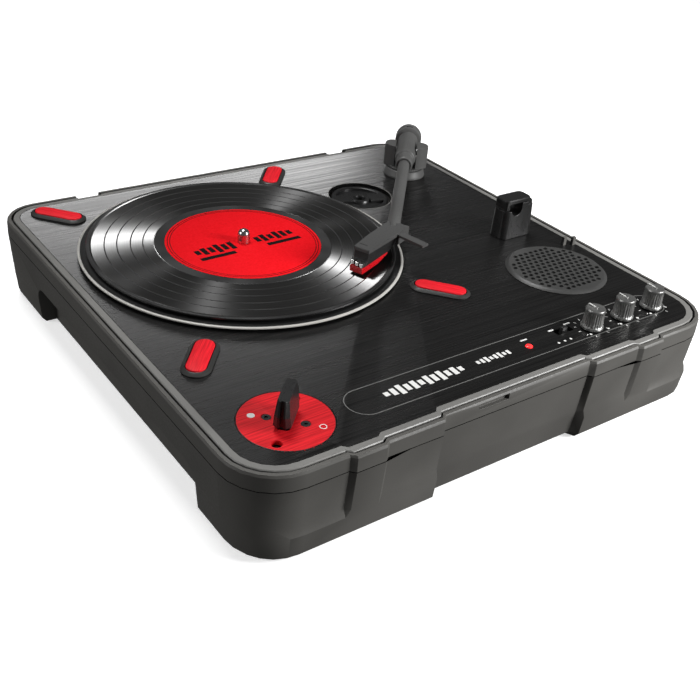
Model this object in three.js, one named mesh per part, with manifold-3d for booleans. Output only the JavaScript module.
// Suitcase record player: a portable turntable with a fixed tonearm, a scratch lever, a built-in
// speaker, three control knobs and a battery bay, as an assembly of separate named pieces.
//
// Units are millimetres. The frame has +Z up, +X along the front edge to the right and +Y to the back.
// The origin lies under the middle of the body, on the surface that the feet stand on.

import * as THREE from "three";
import { mergeVertices } from "three/addons/utils/BufferGeometryUtils.js";
import Module from "manifold-3d";

const wasm = await Module();
wasm.setup();

// ---------------------------------------------------------------- driving dimensions

const BODY = { halfWidth: 150, halfDepth: 149, frontRadius: 27, backRadius: 22 };
const LEVEL = { feet: 1.2, split: 40.5, floor: 44, deck: 49, record: 54 };
const WALL = 2.5;
const GAP = 0.3;

// The front wall steps in and out: corner, rib, block and centre, measured from the middle outwards.
const FRONT = { centreEdge: 48.5, blockEdge: 82.5, ribEdge: 100.5 };
const FRONT_SETBACK = { centre: 4.4, block: 1.8, rib: 0, corner: 2.4 };

const PLATTER = { x: -45.3, y: 39, radius: 92, rim: 50.2, top: 51.5 };
const RECORD_RADIUS = 87.5;
const DRIVE = { wheelRadius: 45, pulleyRadius: 5, beltThickness: 0.9, low: 36.4, high: 41 };
const MOTOR = { x: 20, y: 88, radius: 16 };

const ARM = { x: 114.7, y: 93, z: 65.3, angle: -131.7, tubeRadius: 3.8, tubeEnd: 133 };
const HEAD = { forward: 130, side: 2.6, angle: 25.5, top: 68.9 };
const REST = { x: 115.2, y: -13.8, width: 25, depth: 13.5, notch: 111.6 };

const SCRATCH = { x: -112.2, y: -112.5, radius: 22, angle: 45, top: 65, screwReach: 8.8 };
const GRILLE = { x: 104.9, y: -64.1, radius: 29.7, height: 1.6 };
const ADAPTER = { x: 63, y: 73.8, recessRadius: 20.7, radius: 18.9 };
const PAD = { length: 34, width: 15, insertLength: 28.6, insertWidth: 9.8, reach: 74, depth: 88 };
const KNOB = { x: 73.3, y: -121.1, pitch: 24, height: 12, radius: 5.2 };
const LIGHT = { x: 29.4, y: -118.9, radius: 1.9 };
const SPEED = { x: 57.2, y: -116, width: 12, depth: 4.6 };
const BAY = { x: -38, y: -92, width: 112, depth: 72, top: 38 };
const DOOR = { axisY: BAY.y + BAY.depth / 2 - 1.6, axisZ: LEVEL.feet + 1.1 };
const JACKS = { x: 0, z: 21, width: 110, height: 24, depth: 11 };
const RECESS = { low: -98, high: 91, top: 26.3, depth: 11, radius: 10 };

const SPINDLE = { radius: 3.5, bore: 3.6, tip: 62, bottom: 33 };
const SWIVEL = { radius: 5, bore: 5.1 };
const LATCH = { x: 124, z: 70.2 };
const POT = { half: 8, low: 35.6 };
const FOOT = { radius: 9, pocket: 1.6, height: 2.8 };
const FRAME = { outer: 3.8, inner: 7.3 };
const BACK_NOTCH = { inner: 86.2, outer: 101.2, depth: 6 };
const LATCH_SLOT = { left: -27, right: -8, low: 44.9, high: 47.9, depth: 2 };
const RCA_X = [-34, -14];
const PHONES_X = 12;
const TABS = [[134.9, -41.3], [140.6, -43.6]];
const FOOT_PLACES = [
  ["front_left", -112, -112],
  ["front_right", 112, -112],
  ["back_left", -112, 118],
  ["back_right", 112, 118],
];

// The lower shell leans in towards its foot, and the front steps start between the two scoop heights.
const LEAN = 2.6;
const SCOOP_LOW = 15;
const SCOOP_HIGH = 19;

const CORNER_STEPS = 6;
const PLATTER_SEGMENTS = 48;

// ---------------------------------------------------------------- colours

const finish = (color, roughness, metalness) => new THREE.MeshStandardMaterial({ color, roughness, metalness });
const SHELL = finish(0x5c5a57, 0.55, 0);
const BLACK = finish(0x111111, 0.5, 0);
const PLATE = finish(0x1c1c1d, 0.35, 0.9);
const RED = finish(0xd81424, 0.35, 0.4);
const ARM_GREY = finish(0x6c6c6b, 0.4, 0.2);
const STEEL = finish(0xb9b9b6, 0.25, 1);
const BRASS = finish(0xb08d45, 0.35, 1);
const VINYL = finish(0x0b0b0b, 0.2, 0);
const RUBBER = finish(0x161616, 0.9, 0);
const BOARD = finish(0x1f5a35, 0.6, 0);

// ---------------------------------------------------------------- making solids

// A three.js geometry as a manifold solid.
function solid(geometry) {
  const bare = geometry.clone();
  bare.deleteAttribute("normal");
  bare.deleteAttribute("uv");
  const merged = mergeVertices(bare, 1e-4);
  const mesh = new wasm.Mesh({
    numProp: 3,
    vertProperties: merged.attributes.position.array,
    triVerts: new Uint32Array(merged.index.array),
  });
  return new wasm.Manifold(mesh);
}

// A manifold solid as a three.js geometry.
function geometryOf(body) {
  const mesh = body.getMesh();
  const geometry = new THREE.BufferGeometry();
  geometry.setAttribute("position", new THREE.BufferAttribute(Float32Array.from(mesh.vertProperties), 3));
  geometry.setIndex(new THREE.BufferAttribute(Uint32Array.from(mesh.triVerts), 1));
  return geometry;
}

const join = (first, ...rest) => rest.reduce((sum, next) => sum.add(next), first);
const cut = (first, ...rest) => rest.reduce((left, next) => left.subtract(next), first);

// A flat outline raised from low to high.
function plate(shape, low, high, curveSegments = 12) {
  const geometry = new THREE.ExtrudeGeometry(shape, { depth: high - low, bevelEnabled: false, curveSegments });
  geometry.translate(0, 0, low);
  return solid(geometry);
}

// A profile of [radius, height] points turned about a vertical axis, listed from the bottom up the outside.
function turned(x, y, profile, segments = 20) {
  const points = profile.map(([r, z]) => new THREE.Vector2(r, z));
  const geometry = new THREE.LatheGeometry(points, segments);
  geometry.rotateX(Math.PI / 2);
  geometry.translate(x, y, 0);
  return solid(geometry);
}

const disc = (x, y, radius, low, high, segments = 20) =>
  turned(x, y, [[0, low], [radius, low], [radius, high], [0, high]], segments);

const block = (x0, x1, y0, y1, z0, z1) => {
  const geometry = new THREE.BoxGeometry(x1 - x0, y1 - y0, z1 - z0);
  geometry.translate((x0 + x1) / 2, (y0 + y1) / 2, (z0 + z1) / 2);
  return solid(geometry);
};

// Outlines with equal point counts, one above the other, skinned into one closed body.
function loft(rings) {
  const count = rings[0].length;
  const positions = rings.flat().flatMap((p) => [p.x, p.y, p.z]);
  const index = [];
  for (let level = 0; level + 1 < rings.length; level += 1) {
    for (let i = 0; i < count; i += 1) {
      const a = level * count + i;
      const b = level * count + ((i + 1) % count);
      index.push(a, b, b + count, a, b + count, a + count);
    }
  }
  const flat = rings[0].map((p) => new THREE.Vector2(p.x, p.y));
  const top = (rings.length - 1) * count;
  for (const [a, b, c] of THREE.ShapeUtils.triangulateShape(flat, [])) {
    index.push(a, c, b, top + a, top + b, top + c);
  }
  const geometry = new THREE.BufferGeometry();
  geometry.setAttribute("position", new THREE.Float32BufferAttribute(positions, 3));
  geometry.setIndex(index);
  return solid(geometry);
}

const shapeOf = (points) => new THREE.Shape(points.map((p) => new THREE.Vector2(p.x, p.y)));

// A rectangle with round corners, centred on x and y, anticlockwise.
function roundedRing(x, y, width, depth, radius, z, steps = 4) {
  const points = [];
  const corners = [[1, -1, -90], [1, 1, 0], [-1, 1, 90], [-1, -1, 180]];
  for (const [sx, sy, start] of corners) {
    const cx = x + sx * (width / 2 - radius);
    const cy = y + sy * (depth / 2 - radius);
    for (let i = 0; i <= steps; i += 1) {
      const turn = THREE.MathUtils.degToRad(start + (90 * i) / steps);
      points.push(new THREE.Vector3(cx + radius * Math.cos(turn), cy + radius * Math.sin(turn), z));
    }
  }
  return points;
}

const roundedPlate = (x, y, width, depth, radius, low, high, steps = 4) => loft([
  roundedRing(x, y, width, depth, radius, low, steps),
  roundedRing(x, y, width, depth, radius, high, steps),
]);

const rodBetween = (start, end, radius, segments = 16) => {
  const axis = new THREE.Vector3().subVectors(end, start);
  const geometry = new THREE.CylinderGeometry(radius, radius, axis.length(), segments);
  const turn = new THREE.Quaternion().setFromUnitVectors(new THREE.Vector3(0, 1, 0), axis.clone().normalize());
  geometry.applyQuaternion(turn);
  geometry.translate((start.x + end.x) / 2, (start.y + end.y) / 2, (start.z + end.z) / 2);
  return solid(geometry);
};

const at = (x, y, z) => new THREE.Vector3(x, y, z);

// ---------------------------------------------------------------- the body outline

// The plan outline of the body, moved in by inset. Scoop runs from 1, full steps, to 0, where the
// ribs, blocks and corners lie flush; the centre stays set back all the way down.
function bodyOutline(inset, z, scoop = 1, stepWidth = 2.4) {
  const points = [];
  const side = BODY.halfWidth - inset;
  const back = BODY.halfDepth - inset;
  const frontAt = (name) => -BODY.halfDepth + inset + FRONT_SETBACK[name] * (name === "centre" ? 1 : scoop);
  const arc = (cx, cy, radius, from) => {
    for (let i = 0; i <= CORNER_STEPS; i += 1) {
      const turn = THREE.MathUtils.degToRad(from + (90 * i) / CORNER_STEPS);
      points.push(at(cx + radius * Math.cos(turn), cy + radius * Math.sin(turn), z));
    }
  };
  const frontRadius = Math.max(BODY.frontRadius - inset, 2);
  const backRadius = Math.max(BODY.backRadius - inset, 2);
  const cornerY = frontAt("corner");
  const ribY = frontAt("rib");
  const blockY = frontAt("block");
  const centreY = frontAt("centre");
  const half = stepWidth / 2;
  const steps = [
    [FRONT.centreEdge - half, centreY],
    [FRONT.centreEdge + half, blockY],
    [FRONT.blockEdge - half, blockY],
    [FRONT.blockEdge + half, ribY],
    [FRONT.ribEdge - half, ribY],
    [FRONT.ribEdge + half, cornerY],
  ];
  for (const [x, y] of steps) {
    points.push(at(x, y, z));
  }
  arc(side - frontRadius, cornerY + frontRadius, frontRadius, -90);
  arc(side - backRadius, back - backRadius, backRadius, 0);
  arc(-side + backRadius, back - backRadius, backRadius, 90);
  arc(-side + frontRadius, cornerY + frontRadius, frontRadius, 180);
  for (const [x, y] of steps.toReversed()) {
    points.push(at(-x, y, z));
  }
  return points;
}

// ---------------------------------------------------------------- shells and deck

// The hand recess in each side wall: an arch open below, with round upper corners.
function recessTool(side, grow) {
  const shape = new THREE.Shape();
  const low = RECESS.low - grow;
  const high = RECESS.high + grow;
  const top = RECESS.top + grow;
  const r = RECESS.radius;
  shape.moveTo(low, -5);
  shape.lineTo(high, -5);
  shape.lineTo(high, top - r);
  shape.absarc(high - r, top - r, r, 0, Math.PI / 2);
  shape.lineTo(low + r, top);
  shape.absarc(low + r, top - r, r, Math.PI / 2, Math.PI);
  const depth = RECESS.depth + grow + 6;
  const geometry = new THREE.ExtrudeGeometry(shape, { depth, bevelEnabled: false, curveSegments: 5 });
  geometry.rotateX(Math.PI / 2);
  geometry.rotateZ(Math.PI / 2);
  const outer = BODY.halfWidth + 6;
  geometry.translate(side > 0 ? outer - depth : -outer, 0, 0);
  return solid(geometry);
}

// The lower shell is a thin tub with a chamfered bottom edge.
function baseShell() {
  const { feet, split } = LEVEL;
  const top = split - 0.4;
  const outer = loft([
    bodyOutline(LEAN + 2.2, feet, 0),
    bodyOutline(LEAN, feet + 2.6, 0),
    bodyOutline(LEAN * 0.62, SCOOP_LOW, 0),
    bodyOutline(LEAN * 0.52, SCOOP_HIGH, 1),
    bodyOutline(0, top, 1),
  ]);
  const inner = loft([
    bodyOutline(WALL + LEAN + 1, feet + WALL, 1),
    bodyOutline(WALL + 0.6, top + 1, 1),
  ]);
  const cavity = cut(inner, recessTool(1, WALL), recessTool(-1, WALL));
  const bayWide = BAY.width / 2;
  const bayDeep = BAY.depth / 2;
  const bayHole = block(BAY.x - bayWide, BAY.x + bayWide, BAY.y - bayDeep, BAY.y + bayDeep, -1, feet + WALL + 1);
  const jackHole = block(
    JACKS.x - JACKS.width / 2 - GAP, JACKS.x + JACKS.width / 2 + GAP, BODY.halfDepth - 9, BODY.halfDepth + 1,
    JACKS.z - JACKS.height / 2 - GAP, JACKS.z + JACKS.height / 2 + GAP,
  );
  const footPockets = FOOT_PLACES.map(([, x, y]) =>
    disc(x, y, FOOT.radius + GAP, 0, feet + FOOT.pocket + GAP, 20));
  return cut(outer, cavity, recessTool(1, 0), recessTool(-1, 0), bayHole, jackHole, ...footPockets);
}

// Round holes that go down through the deck plate and the floor below it: [x, y, deck radius, floor radius].
const knobX = (i) => KNOB.x + i * KNOB.pitch;
const HOLES = [
  [PLATTER.x, PLATTER.y, 9, 7],
  [ARM.x, ARM.y, 9.8, 9.8],
  [GRILLE.x, GRILLE.y, 27.6, 27.6],
  [SCRATCH.x, SCRATCH.y, SCRATCH.radius + GAP, 0],
  [ADAPTER.x, ADAPTER.y, ADAPTER.recessRadius, 0],
  [LIGHT.x, LIGHT.y, LIGHT.radius + GAP, LIGHT.radius + GAP],
  ...[0, 1, 2].map((i) => [knobX(i), KNOB.y, 3.6, 4]),
];

// The two slots at the back where the hinges of a lift-off cover drop in.
const hingeNotches = (low) => [-1, 1].map((s) => {
  const [left, right] = s > 0 ? [BACK_NOTCH.inner, BACK_NOTCH.outer] : [-BACK_NOTCH.outer, -BACK_NOTCH.inner];
  return block(left, right, BODY.halfDepth - BACK_NOTCH.depth, BODY.halfDepth + 1, low, LEVEL.deck + 1);
});

function topShell() {
  const { split, floor, deck } = LEVEL;
  const outer = loft([
    bodyOutline(0, split),
    bodyOutline(0.15, deck - 1.2),
    bodyOutline(0.8, deck),
  ]);
  const pocket = loft([bodyOutline(2.6, floor + 2.4), bodyOutline(2.6, deck + 1)]);
  const underside = loft([bodyOutline(WALL + 0.6, split - 1), bodyOutline(WALL + 0.6, floor)]);
  let body = cut(outer, pocket, underside);
  for (const [x, y, , radius] of HOLES.filter((hole) => hole[3] > 0)) {
    body = body.subtract(disc(x, y, radius, floor - 1, deck, radius > 15 ? 32 : 14));
  }
  const adapterCup = disc(ADAPTER.x, ADAPTER.y, ADAPTER.recessRadius + 2, floor - 2.2, floor + 1, 32);
  const adapterWell = disc(ADAPTER.x, ADAPTER.y, ADAPTER.recessRadius, floor - 0.4, deck, 32);
  const leverSlot = roundedPlate(0, 0, 17, 9, 2, floor - 1, deck).rotate([0, 0, SCRATCH.angle])
    .translate([SCRATCH.x, SCRATCH.y, 0]);
  const speedSlot = roundedPlate(SPEED.x, SPEED.y, SPEED.width - 1.6, SPEED.depth - 1.4, 0.8, floor - 1, deck);
  body = cut(body.add(adapterCup), adapterWell, leverSlot, speedSlot);
  const tabs = TABS.map(([x, y]) => block(x - 1.2, x + 1.2, y - 1, y + 1, floor + 1, deck + 5.2));
  const front = -BODY.halfDepth + FRONT_SETBACK.centre;
  const { left, right, low, high, depth } = LATCH_SLOT;
  const slot = block(left, right, front - 1, front + depth, low, high);
  return cut(join(body, ...tabs), ...hingeNotches(floor + 2.6), slot);
}

// The grey frame round the deck plate, and the plate inside it.
function deckFrame() {
  const low = LEVEL.floor + 2.4 + GAP;
  const outer = loft([
    bodyOutline(FRAME.outer, low),
    bodyOutline(FRAME.outer, LEVEL.deck - 0.3),
    bodyOutline(FRAME.outer + 0.4, LEVEL.deck + 0.1),
  ]);
  const inner = loft([bodyOutline(FRAME.inner, low - 1), bodyOutline(FRAME.inner, LEVEL.deck + 1)]);
  return cut(outer, inner, ...hingeNotches(low - 1));
}

function deckPlate() {
  const low = LEVEL.floor + 2.4 + GAP;
  const inset = FRAME.inner + GAP;
  let body = loft([bodyOutline(inset, low), bodyOutline(inset, LEVEL.deck)]);
  for (const [x, y, radius] of HOLES) {
    body = body.subtract(disc(x, y, radius, low - 1, LEVEL.deck + 1, radius > 15 ? 36 : 14));
  }
  const slot = roundedPlate(SPEED.x, SPEED.y, SPEED.width, SPEED.depth, 1, low - 1, LEVEL.deck + 1);
  const tabHoles = TABS.map(([x, y]) => block(x - 1.5, x + 1.5, y - 1.3, y + 1.3, low - 1, LEVEL.deck + 1));
  return cut(body, slot, ...tabHoles);
}

// ---------------------------------------------------------------- platter and drive

// The platter is a thin disc with a raised lip and a hub that goes down through the deck.
function platter() {
  const { radius, rim, top } = PLATTER;
  const bore = SPINDLE.radius + 0.1;
  return turned(PLATTER.x, PLATTER.y, [
    [bore, 46.8], [6.6, 46.8], [6.6, rim], [radius - 0.6, rim], [radius, rim + 0.4],
    [radius, top - 0.3], [radius - 0.4, top], [bore, top], [bore, 46.8],
  ], PLATTER_SEGMENTS);
}

const slipmat = () => turned(PLATTER.x, PLATTER.y, [
  [SPINDLE.bore + 0.2, PLATTER.top + 0.12], [86, PLATTER.top + 0.12], [86, PLATTER.top + 0.9],
  [SPINDLE.bore + 0.2, PLATTER.top + 0.9], [SPINDLE.bore + 0.2, PLATTER.top + 0.12],
], PLATTER_SEGMENTS);

// A seven-inch record with rounded edges.
function record() {
  const top = LEVEL.record;
  const low = PLATTER.top + 1.02;
  return turned(PLATTER.x, PLATTER.y, [
    [SPINDLE.bore, low], [RECORD_RADIUS - 0.6, low], [RECORD_RADIUS, low + 0.6],
    [RECORD_RADIUS, top - 0.5], [RECORD_RADIUS - 0.8, top], [SPINDLE.bore, top], [SPINDLE.bore, low],
  ], PLATTER_SEGMENTS);
}

const spindle = () => turned(PLATTER.x, PLATTER.y, [
  [0, SPINDLE.bottom], [SPINDLE.radius, SPINDLE.bottom], [SPINDLE.radius, 59.4],
  [2.6, 61], [1.2, SPINDLE.tip], [0, SPINDLE.tip],
], 20);

// The bush stays in the floor and holds the spindle with a running clearance.
const spindleBush = () => turned(PLATTER.x, PLATTER.y, [
  [SPINDLE.bore, 41.6], [9, 41.6], [9, 43.7], [6.2, 43.7],
  [6.2, 46.4], [SPINDLE.bore, 46.4], [SPINDLE.bore, 41.6],
], 20);

const grooved = (x, y, radius, bore, low, high, segments) => turned(x, y, [
  [bore, low], [radius + 1.4, low], [radius + 1.4, low + 0.6], [radius, low + 1], [radius, high - 1],
  [radius + 1.4, high - 0.6], [radius + 1.4, high], [bore, high], [bore, low],
], segments);

const driveWheel = () => grooved(
  PLATTER.x, PLATTER.y, DRIVE.wheelRadius, SPINDLE.radius + 0.1, DRIVE.low, DRIVE.high, 32,
);
const motorPulley = () => grooved(MOTOR.x, MOTOR.y, DRIVE.pulleyRadius, 1.1, DRIVE.low, DRIVE.high, 16);

// A flat belt round the drive wheel and the motor pulley: two arcs and two straight runs.
function driveBelt() {
  const dx = MOTOR.x - PLATTER.x;
  const dy = MOTOR.y - PLATTER.y;
  const distance = Math.hypot(dx, dy);
  const heading = Math.atan2(dy, dx);
  const spread = Math.acos((DRIVE.wheelRadius - DRIVE.pulleyRadius) / distance);
  const loop = (Path, offset) => {
    const path = new Path();
    const end = heading - spread + 2 * Math.PI;
    path.absarc(PLATTER.x, PLATTER.y, DRIVE.wheelRadius + offset, heading + spread, end);
    path.absarc(MOTOR.x, MOTOR.y, DRIVE.pulleyRadius + offset, heading - spread, heading + spread);
    return path;
  };
  const shape = loop(THREE.Shape, GAP + DRIVE.beltThickness);
  shape.holes.push(loop(THREE.Path, GAP));
  return plate(shape, DRIVE.low + 1.4, DRIVE.high - 1.4, 14);
}

const motor = () => turned(MOTOR.x, MOTOR.y, [
  [0, LEVEL.feet + WALL + GAP], [MOTOR.radius, LEVEL.feet + WALL + GAP], [MOTOR.radius, 32],
  [MOTOR.radius - 1.5, 33.5], [4, 33.5], [4, 35.4], [1, 35.4], [1, DRIVE.high - 0.4], [0, DRIVE.high - 0.4],
], 24);

// ---------------------------------------------------------------- red pads and scratch switch

const PAD_PLACES = [
  ["front_left", -1, -1], ["front_right", 1, -1], ["back_left", -1, 1], ["back_right", 1, 1],
].map(([name, sx, sy]) => ({
  name,
  x: PLATTER.x - 2 + sx * PAD.reach,
  y: PLATTER.y - 2.7 + sy * PAD.depth,
  turn: (sx * sy > 0 ? 1 : -1) * 49.5,
}));

function padBezel({ x, y, turn }) {
  const low = LEVEL.deck + 0.1;
  const high = LEVEL.deck + 1.9;
  const { length, width, insertLength, insertWidth } = PAD;
  const wall = loft([
    roundedRing(0, 0, length, width, width / 2 - 0.2, low, 3),
    roundedRing(0, 0, length - 0.6, width - 0.6, width / 2 - 0.5, low + 0.6, 3),
    roundedRing(0, 0, length - 4, width - 4, width / 2 - 2.2, high, 3),
  ]);
  const pocket = roundedPlate(
    0, 0, insertLength + 0.6, insertWidth + 0.6, insertWidth / 2, low + 0.8, high + 1, 3,
  );
  return wall.subtract(pocket).rotate([0, 0, turn]).translate([x, y, 0]);
}

function padInsert({ x, y, turn }) {
  const low = LEVEL.deck + 1.1;
  const { insertLength: length, insertWidth: width } = PAD;
  const body = loft([
    roundedRing(0, 0, length, width, width / 2 - 0.2, low, 3),
    roundedRing(0, 0, length - 0.6, width - 0.6, width / 2 - 0.5, low + 1.3, 3),
  ]);
  return body.rotate([0, 0, turn]).translate([x, y, 0]);
}

// Points of the scratch plate given along the lever and across it.
function scratchPoint(along, across) {
  const turn = THREE.MathUtils.degToRad(SCRATCH.angle);
  const x = SCRATCH.x + along * Math.cos(turn) - across * Math.sin(turn);
  const y = SCRATCH.y + along * Math.sin(turn) + across * Math.cos(turn);
  return [x, y];
}

function scratchPlate() {
  const low = LEVEL.floor + 2.4 + GAP;
  const top = LEVEL.deck + 0.05;
  let body = disc(SCRATCH.x, SCRATCH.y, SCRATCH.radius, low, top, 32);
  for (const across of [-SCRATCH.screwReach, SCRATCH.screwReach]) {
    const [x, y] = scratchPoint(0, across);
    const seat = [[0, low - 1], [1.3, low - 1], [1.3, low + 1], [2.7, top + 0.2], [0, top + 0.2]];
    body = body.subtract(turned(x, y, seat, 12));
  }
  for (const along of [-17.6, 17.6]) {
    const [x, y] = scratchPoint(along, 0);
    body = body.subtract(disc(x, y, 2.6, low - 1, top + 1, 12));
  }
  const slot = roundedPlate(0, 0, 15, 6.4, 1.6, low - 1, top + 1).rotate([0, 0, SCRATCH.angle])
    .translate([SCRATCH.x, SCRATCH.y, 0]);
  return body.subtract(slot);
}

function scratchScrew(across) {
  const [x, y] = scratchPoint(0, across);
  const low = LEVEL.floor + 2.4 + 0.5;
  const top = LEVEL.deck - 0.05;
  const head = turned(x, y, [[0, low], [1, low], [1, low + 1], [2.3, top], [0, top]], 12);
  const drive = disc(x, y, 1.1, top - 0.7, top + 1, 4);
  return head.subtract(drive);
}

// The scratch lever is a tall fin, wide at the foot, with a groove down each end.
function scratchLever() {
  const foot = LEVEL.deck + 2.4;
  const section = (length, width, z) => {
    const end = length / 2;
    const side = width / 2;
    return [
      at(end, -side / 2, z), at(end, side / 2, z), at(end - 1.6, side, z), at(-end + 1.6, side, z),
      at(-end, side / 2, z), at(-end, -side / 2, z), at(-end + 1.6, -side, z), at(end - 1.6, -side, z),
    ];
  };
  const fin = loft([section(19.5, 8.2, foot), section(21.5, 7, foot + 6), section(18.8, 5.2, SCRATCH.top)]);
  const stem = loft([section(11, 3.4, 41), section(11, 3.4, foot + 1)]);
  const grooves = [-1, 1].map((s) => block(s * 11 - 2.3, s * 11 + 2.3, -0.8, 0.8, foot - 1, SCRATCH.top + 1));
  return cut(fin, ...grooves).add(stem).rotate([0, 0, SCRATCH.angle]).translate([SCRATCH.x, SCRATCH.y, 0]);
}

// The switch that the lever works: a shallow box under the deck that the stem dips into.
function scratchSwitch() {
  const shell = roundedPlate(0, 0, 26, 15, 1.5, 32, LEVEL.floor - GAP);
  const pocket = roundedPlate(0, 0, 15, 10, 1, 37, LEVEL.floor + 1);
  return shell.subtract(pocket).rotate([0, 0, SCRATCH.angle]).translate([SCRATCH.x, SCRATCH.y, 0]);
}

// ---------------------------------------------------------------- adapter, speaker and controls

// The adapter for wide-hole records: a disc with a raised rim and cross bar.
function adapter() {
  const low = LEVEL.floor - 0.4 + GAP;
  const top = LEVEL.deck - 1.2;
  const { x, y, radius } = ADAPTER;
  const body = turned(x, y, [
    [SPINDLE.bore, low], [radius, low], [radius, top - 0.8],
    [radius - 1.2, top], [SPINDLE.bore, top], [SPINDLE.bore, low],
  ], 28);
  const well = disc(0, 0, radius - 3.4, top - 2.4, top + 1, 20);
  const bar = block(-radius, radius, -6.2, 6.2, top - 4, top + 2);
  return body.subtract(well.subtract(bar).translate([x, y, 0]));
}

function speakerGrille() {
  const { x, y, radius, height } = GRILLE;
  const low = LEVEL.deck + 0.1;
  const top = low + height;
  return turned(x, y, [
    [0, top - 1.1], [24.5, top - 1.1], [24.5, LEVEL.floor + 2.6], [27, LEVEL.floor + 2.6],
    [27, low], [radius, low], [radius, low + 0.3], [radius - 1.8, top], [0, top],
  ], 36);
}

function speakerDriver() {
  const { x, y } = GRILLE;
  const top = LEVEL.floor - GAP;
  return turned(x, y, [
    [0, 22], [14, 22], [14, 31], [17, 32.5], [25, top - 3.5], [29, top - 3],
    [29, top], [24.5, top], [22, top - 2.5], [7, 36], [0, 38],
  ], 24);
}

// A control knob with a skirt, a round top and a pointer that overhangs towards its mark.
function knob(index) {
  const x = knobX(index);
  const low = LEVEL.deck + 0.5;
  const top = LEVEL.deck + KNOB.height;
  const r = KNOB.radius;
  const body = turned(x, KNOB.y, [
    [0, low], [r + 0.9, low], [r + 0.8, low + 2], [r + 0.1, top - 1.4],
    [r, top - 0.5], [r - 0.5, top], [0, top],
  ], 16);
  const pointer = block(x - 0.6, x + 0.6, KNOB.y - 0.5, KNOB.y + r - 0.6, top - 0.4, top + 0.5);
  return body.add(pointer).subtract(disc(x, KNOB.y, 3.1, low - 1, low + 7.5, 20));
}

function pot(index) {
  const x = knobX(index);
  const reach = POT.half - 1;
  const body = block(x - POT.half, x + POT.half, KNOB.y - reach, KNOB.y + reach, POT.low, LEVEL.floor - GAP);
  return body.add(disc(x, KNOB.y, 3, POT.low + 1, LEVEL.deck + 6.8, 20));
}

const controlBoard = () =>
  block(LIGHT.x - 9, knobX(2) + 12, KNOB.y - 9, KNOB.y + 11, POT.low - 2, POT.low - GAP);

const statusLight = () => turned(LIGHT.x, LIGHT.y, [
  [0, POT.low], [LIGHT.radius, POT.low], [LIGHT.radius, LEVEL.deck],
  [LIGHT.radius - 0.5, LEVEL.deck + 0.5], [0, LEVEL.deck + 0.7],
], 16);

function speedKnob() {
  const { x, y } = SPEED;
  const tip = loft([
    roundedRing(x, y, 4.4, 2.6, 0.4, LEVEL.deck - 1.6, 2),
    roundedRing(x, y, 3.8, 2.1, 0.4, LEVEL.deck + 2.2, 2),
  ]);
  return tip.add(block(x - 0.9, x + 0.9, y - 1.1, y + 1.1, 41.2, LEVEL.deck - 1));
}

function speedSwitch() {
  const { x, y } = SPEED;
  const body = block(x - 8, x + 8, y - 4.5, y + 4.5, POT.low, LEVEL.floor - GAP);
  return body.subtract(block(x - 5, x + 5, y - 1.5, y + 1.5, 40.4, LEVEL.floor + 1));
}

// ---------------------------------------------------------------- tonearm

// The arm pieces are made lying along +X from the pivot, then turned and moved to their place.
const armPlaced = (body) => body.rotate([0, 0, ARM.angle]).translate([ARM.x, ARM.y, 0]);

const alongArm = (profile, segments = 18) => {
  const points = profile.map(([r, length]) => new THREE.Vector2(r, length));
  const geometry = new THREE.LatheGeometry(points, segments);
  geometry.rotateZ(-Math.PI / 2);
  geometry.translate(0, 0, ARM.z);
  return solid(geometry);
};

const armBaseRing = () => turned(ARM.x, ARM.y, [
  [SWIVEL.bore, 38], [9.4, 38], [9.4, LEVEL.deck + 0.1], [14.2, LEVEL.deck + 0.1], [14.2, LEVEL.deck + 1.4],
  [12.9, LEVEL.deck + 5.4], [SWIVEL.bore, LEVEL.deck + 5.4], [SWIVEL.bore, 38],
], 24);

// The yoke turns in the base ring and carries the arm between two round-backed cheeks.
function armYoke() {
  const seat = LEVEL.deck + 5.8;
  const top = LEVEL.deck + 21;
  const table = disc(0, 0, 12, seat, seat + 0.9, 20);
  const shaft = disc(0, 0, SWIVEL.radius, 40, seat + 0.5, 14);
  const cheek = new THREE.Shape();
  cheek.moveTo(7, 7.4);
  cheek.lineTo(-6.5, 7.4);
  cheek.bezierCurveTo(-8, 12, -4, 15.2, 1, 14.8);
  cheek.quadraticCurveTo(4, 14.2, 7, 7.4);
  const left = plate(cheek, seat + 0.4, top, 6);
  const cheeks = left.add(left.mirror([0, 1, 0]));
  const socket = rodBetween(at(0, -11, ARM.z), at(0, 11, ARM.z), 2.3, 12);
  return armPlaced(cut(join(table, shaft, cheeks), socket));
}

function armBarrel() {
  const tube = alongArm([
    [0, -21], [6.3, -21], [6.8, -19.5], [6.8, 15.8], [6.3, 17.2], [5.7, 17.2],
    [5.7, 27.2], [5.1, 28.2], [4.1, 28.2], [4.1, 20], [0, 20],
  ]);
  const pins = rodBetween(at(0, -10.6, ARM.z), at(0, 10.6, ARM.z), 2.2, 12);
  return armPlaced(tube.add(pins));
}

const armTube = () => armPlaced(alongArm([
  [0, 20.3], [ARM.tubeRadius, 20.3], [ARM.tubeRadius, ARM.tubeEnd], [0, ARM.tubeEnd],
], 16));

const armWeight = () => armPlaced(alongArm([
  [0, -33.5], [5.5, -33.2], [8, -31.6], [9.1, -28.6], [9.1, -21.8], [8.6, -21.3], [0, -21.3],
], 20));

// Points of the headshell are given along it and across it, from where the arm tube ends.
const headPlaced = (body) =>
  armPlaced(body.rotate([0, 0, -HEAD.angle]).translate([HEAD.forward, HEAD.side, 0]));

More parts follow.
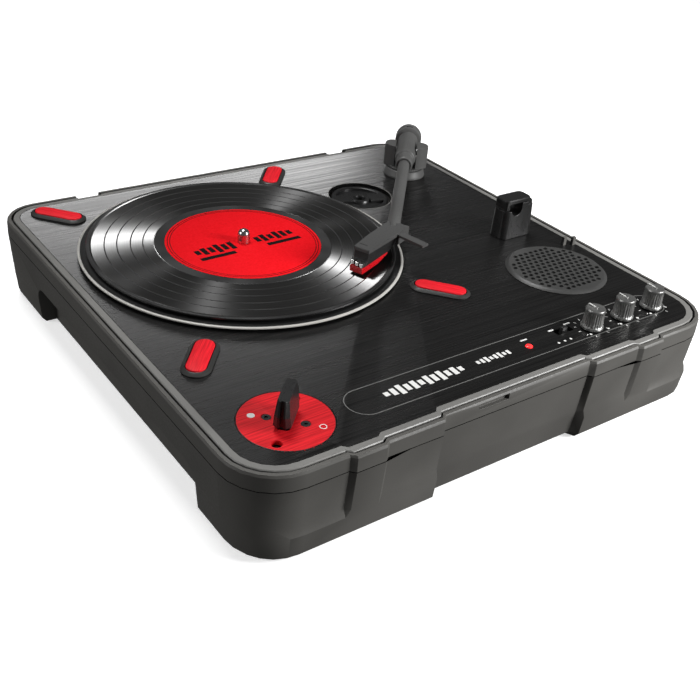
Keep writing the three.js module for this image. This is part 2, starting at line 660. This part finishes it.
function headshell() {
  const outline = (drop, z) => [
    at(0.4, -6.2, z), at(9, -6.2, z), at(24, -5.8, z), at(41 - drop, -4.4, z),
    at(41.2 - drop, 5.2, z), at(8, 6.3, z), at(-1, 5.9, z),
  ];
  const top = HEAD.top;
  const cover = loft([outline(0, top - 2.1), outline(0, top - 0.4), outline(0.4, top)]);
  const neck = block(-3.5, 8, -5.6, 5.6, top - 8.6, top - 1);
  const finger = loft([
    [at(6, 5.2, top - 2), at(11.4, 5.2, top - 2), at(12.4, 23, top - 3.4), at(7.6, 24, top - 3.4)],
    [at(6, 5.2, top - 0.6), at(11.4, 5.2, top - 0.6), at(12.4, 23, top - 2), at(7.6, 24, top - 2)],
  ]);
  const boreRadius = ARM.tubeRadius + GAP;
  const boreEnd = ARM.tubeEnd + GAP;
  const bore = armPlaced(alongArm([[0, 100], [boreRadius, 100], [boreRadius, boreEnd], [0, boreEnd]], 16));
  return cut(headPlaced(join(cover, neck, finger)), bore);
}

// A cross-section of a headshell piece: its back end, its front end, half its width and its height.
const headSection = (back, front, half, z) =>
  [at(back, -half, z), at(front, -half, z), at(front, half, z), at(back, half, z)];

const cartridge = () => headPlaced(loft([
  headSection(16, 43.5, 4.5, 59.2),
  headSection(9, 40.6, 4.5, 62),
  headSection(9, 40.2, 4.5, HEAD.top - 2.1 - GAP),
]));

const stylusHolder = () => headPlaced(loft([
  headSection(27, 44.6, 4, 55.2),
  headSection(17, 45, 4, 57.6),
  headSection(17, 45, 4, 58.9),
]));

const stylusTip = () => {
  const profile = [[0, LEVEL.record + 0.02], [0.7, 54.7], [0.7, 54.9], [0, 54.9]];
  return headPlaced(turned(38, 0, profile, 10));
};

// ---------------------------------------------------------------- arm rest

function armRest() {
  const { x, y, width, depth, notch } = REST;
  const low = LEVEL.deck + 0.1;
  const body = loft([
    roundedRing(x, y, width, depth, 4, low, 4),
    roundedRing(x - 0.4, y, width - 2, depth - 1.6, 3.4, 71.6, 4),
  ]);
  const leftStep = block(x - width, notch - 3.6, y - depth, y + depth, 67.2, 80);
  const cradle = join(
    rodBetween(at(notch, y - depth, 68.2), at(notch, y + depth, 68.2), 4.2, 20),
    block(notch - 4.2, notch + 4.2, y - depth, y + depth, 68.2, 80),
  );
  const hingeStart = x + width / 2 - 6.6;
  const hingeRoom = block(hingeStart, x + width, y - 4.2, y + 4.2, 67.6, 80);
  const capRoom = block(hingeStart, x + width, y - depth, y + depth, 69.7, 80);
  return cut(body, leftStep, cradle, hingeRoom, capRoom);
}

// The latch closes over the cradle: a cap on a hinge knuckle, with a hook at its free end.
function armRestLatch() {
  const { x, y, depth } = REST;
  const low = 72;
  const half = depth / 2 - 1.2;
  const cap = loft([
    roundedRing(x - 2, y, 21, 2 * half, 3, low, 3),
    roundedRing(x - 2, y, 21, 2 * half, 3, low + 1.7, 3),
    roundedRing(x - 2, y, 20, 2 * half - 1, 2.6, low + 2.3, 3),
  ]);
  const hook = block(x - 11.2, x - 9.4, y - half + 0.4, y + half - 0.4, 68, low + 0.5);
  const knuckle = rodBetween(at(LATCH.x, y - 3.8, LATCH.z), at(LATCH.x, y + 3.8, LATCH.z), 2.2, 16);
  const web = block(LATCH.x - 2.2, LATCH.x, y - 3.8, y + 3.8, LATCH.z - 0.4, low + 0.5);
  return join(cap, hook, knuckle, web);
}

// ---------------------------------------------------------------- inside and underneath

const mainBoard = () => block(24, 100, -24, 40, 8, 9.6);

// The battery tray is a box that opens downwards over the door.
function batteryTray() {
  const { x, y, width, depth, top } = BAY;
  const low = LEVEL.feet + WALL + GAP;
  const outer = roundedPlate(x, y, width + 4, depth + 4, 3, low, top, 2);
  const inner = roundedPlate(x, y, width - 2, depth - 2, 2, low - 1, top - 2, 2);
  return outer.subtract(inner);
}

function batteryDoor() {
  const { x, y, width, depth } = BAY;
  const edge = 0.4;
  const low = LEVEL.feet + 0.1;
  const left = x - width / 2 + edge;
  const right = x + width / 2 - edge;
  const panel = block(left, right, y - depth / 2 + edge, y + depth / 2 - 1.6, low, low + 2);
  const barrel = rodBetween(at(left, DOOR.axisY, DOOR.axisZ), at(right, DOOR.axisY, DOOR.axisZ), 1, 12);
  const grip = roundedPlate(x, y - depth / 2 + 8, 18, 6, 2, low - 1, low + 0.9, 3);
  return panel.add(barrel).subtract(grip);
}

function rubberFoot(x, y) {
  const { radius, height } = FOOT;
  const top = height - GAP;
  return turned(x, y, [[0, 0], [radius - 0.8, 0], [radius, 0.8], [radius, top], [0, top]], 20);
}

// The jack panel is a shallow tub let into the back wall, open to the back.
function jackPanel() {
  const { x, z, width, height, depth } = JACKS;
  const back = BODY.halfDepth - 0.4;
  const half = width / 2;
  const rise = height / 2;
  const tub = block(x - half, x + half, back - depth, back, z - rise, z + rise);
  const hollow = block(x - half + 2, x + half - 2, back - depth + 2, back + 1, z - rise + 2, z + rise - 2);
  const through = (hx, radius) =>
    rodBetween(at(hx, back - depth - 1, z), at(hx, back - depth + 3, z), radius, 12);
  return cut(tub, hollow, ...RCA_X.map((hx) => through(hx, 4.6)), through(PHONES_X, 5));
}

// A socket seen from behind: a ring with a round hole, on a block inside the body.
function socket(hx, outer, inner, reach) {
  const floorY = BODY.halfDepth - 0.4 - JACKS.depth;
  const ring = rodBetween(at(hx, floorY - 6, JACKS.z), at(hx, floorY + reach, JACKS.z), outer, 12);
  const hole = rodBetween(at(hx, floorY - 4, JACKS.z), at(hx, floorY + reach + 1, JACKS.z), inner, 16);
  return ring.subtract(hole);
}

function rcaSockets() {
  const floorY = BODY.halfDepth - 0.4 - JACKS.depth;
  const housing = block(RCA_X[0] - 8, RCA_X[1] + 8, floorY - 14, floorY - GAP, JACKS.z - 8, JACKS.z + 8);
  const bores = RCA_X.map((hx) =>
    rodBetween(at(hx, floorY - 4, JACKS.z), at(hx, floorY + 1, JACKS.z), 3.2, 16));
  return cut(join(housing, ...RCA_X.map((hx) => socket(hx, 4.2, 3.2, 8.6))), ...bores);
}

function phonesSocket() {
  const floorY = BODY.halfDepth - 0.4 - JACKS.depth;
  const housing = block(PHONES_X - 8, PHONES_X + 8, floorY - 16, floorY - GAP, JACKS.z - 8, JACKS.z + 8);
  const bore = rodBetween(at(PHONES_X, floorY - 12, JACKS.z), at(PHONES_X, floorY + 1, JACKS.z), 3.2, 16);
  return cut(join(housing, socket(PHONES_X, 4.6, 3.2, 3.4)), bore);
}

// ---------------------------------------------------------------- the assembly

const player = new THREE.Group();

function add(name, body, material) {
  const mesh = new THREE.Mesh(geometryOf(body), material);
  mesh.name = name;
  player.add(mesh);
}

add("base_shell", baseShell(), SHELL);
add("top_shell", topShell(), SHELL);
add("deck_frame", deckFrame(), SHELL);
add("deck_plate", deckPlate(), PLATE);

add("platter", platter(), STEEL);
add("slipmat", slipmat(), RUBBER);
add("record", record(), VINYL);
add("spindle", spindle(), STEEL);
add("spindle_bush", spindleBush(), BRASS);
add("drive_wheel", driveWheel(), BLACK);
add("motor", motor(), STEEL);
add("motor_pulley", motorPulley(), BRASS);
add("drive_belt", driveBelt(), RUBBER);

for (const place of PAD_PLACES) {
  add("pad_bezel_" + place.name, padBezel(place), ARM_GREY);
  add("pad_insert_" + place.name, padInsert(place), RED);
}

add("scratch_plate", scratchPlate(), RED);
add("scratch_screw_left", scratchScrew(SCRATCH.screwReach), BLACK);
add("scratch_screw_right", scratchScrew(-SCRATCH.screwReach), BLACK);
add("scratch_lever", scratchLever(), BLACK);
add("scratch_switch", scratchSwitch(), BLACK);

add("adapter_45", adapter(), BLACK);
add("speaker_grille", speakerGrille(), ARM_GREY);
add("speaker_driver", speakerDriver(), BLACK);
for (const [index, name] of ["volume", "tone", "pitch"].entries()) {
  add("knob_" + name, knob(index), ARM_GREY);
  add("pot_" + name, pot(index), STEEL);
}
add("control_board", controlBoard(), BOARD);
add("status_light", statusLight(), RED);
add("speed_knob", speedKnob(), BLACK);
add("speed_switch", speedSwitch(), STEEL);

add("arm_base_ring", armBaseRing(), ARM_GREY);
add("arm_yoke", armYoke(), ARM_GREY);
add("arm_barrel", armBarrel(), ARM_GREY);
add("arm_tube", armTube(), ARM_GREY);
add("arm_weight", armWeight(), ARM_GREY);
add("headshell", headshell(), ARM_GREY);
add("cartridge", cartridge(), BLACK);
add("stylus_holder", stylusHolder(), RED);
add("stylus_tip", stylusTip(), STEEL);
add("arm_rest", armRest(), SHELL);
add("arm_rest_latch", armRestLatch(), SHELL);

add("main_board", mainBoard(), BOARD);
add("battery_tray", batteryTray(), BLACK);
add("battery_door", batteryDoor(), SHELL);
for (const [name, x, y] of FOOT_PLACES) {
  add("rubber_foot_" + name, rubberFoot(x, y), RUBBER);
}
add("jack_panel", jackPanel(), BLACK);
add("rca_sockets", rcaSockets(), STEEL);
add("phones_socket", phonesSocket(), BLACK);

export default player;
